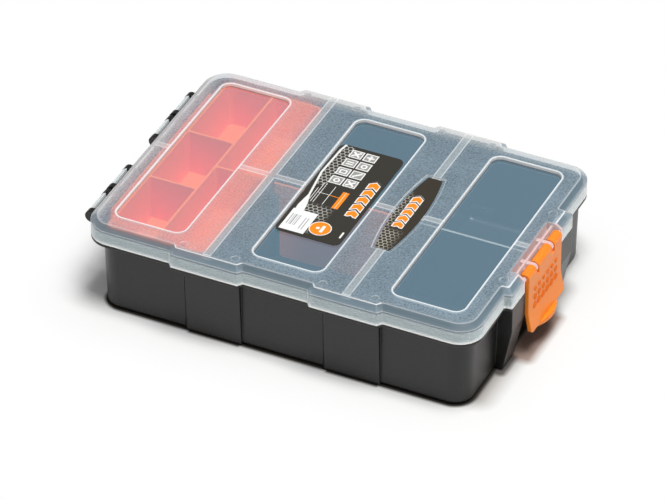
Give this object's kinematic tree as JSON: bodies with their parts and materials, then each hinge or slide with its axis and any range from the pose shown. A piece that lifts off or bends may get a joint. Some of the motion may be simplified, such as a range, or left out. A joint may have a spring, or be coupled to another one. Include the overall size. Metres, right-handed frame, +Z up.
{
  "type": "compartment storage box",
  "caption": "Shallow hobby storage box: black tub with internal bays, lift-out orange tray, loose dividers, hinged see-through lid with windows and an orange swing latch.",
  "frame": {"origin": "on the flat underside of the foot, below the centre of the lid's three windows", "axes": "+X along the length towards the latch end (hinges at -X), +Y across the width, +Z up through the lid"},
  "size_m": [0.2135, 0.1444, 0.047],
  "materials": {
    "tub_plastic": "fine textured black",
    "lid_plastic": "frosted, with clear polished windows",
    "tray_plastic": "satin orange-red",
    "divider_plastic": "satin black",
    "latch_plastic": "satin orange",
    "label_card": "printed dark card",
    "tag_paper": "white paper",
    "badge_film": "printed dark film"
  },
  "bodies": {
    "tub": {"tub": "tub_plastic", "insert_tray": "tray_plastic", "middle_divider": "tray_plastic", "end_divider": "divider_plastic"},
    "lid": {"lid": "lid_plastic", "window_label": "label_card", "price_tag": "tag_paper", "badge_sticker": "badge_film"},
    "latch": {"latch": "latch_plastic"}
  },
  "joints": [
    {"name": "lid_hinge", "type": "hinge", "parent": "tub", "child": "lid", "pos_m": [-0.1024, 0, 0.0372], "axis": [0, -1, 0], "range_deg": [0, 180]},
    {"name": "latch_hinge", "type": "hinge", "parent": "lid", "child": "latch", "pos_m": [0.101, 0, 0.0429], "axis": [0, -1, 0], "range_deg": [0, 160]}
  ]
}
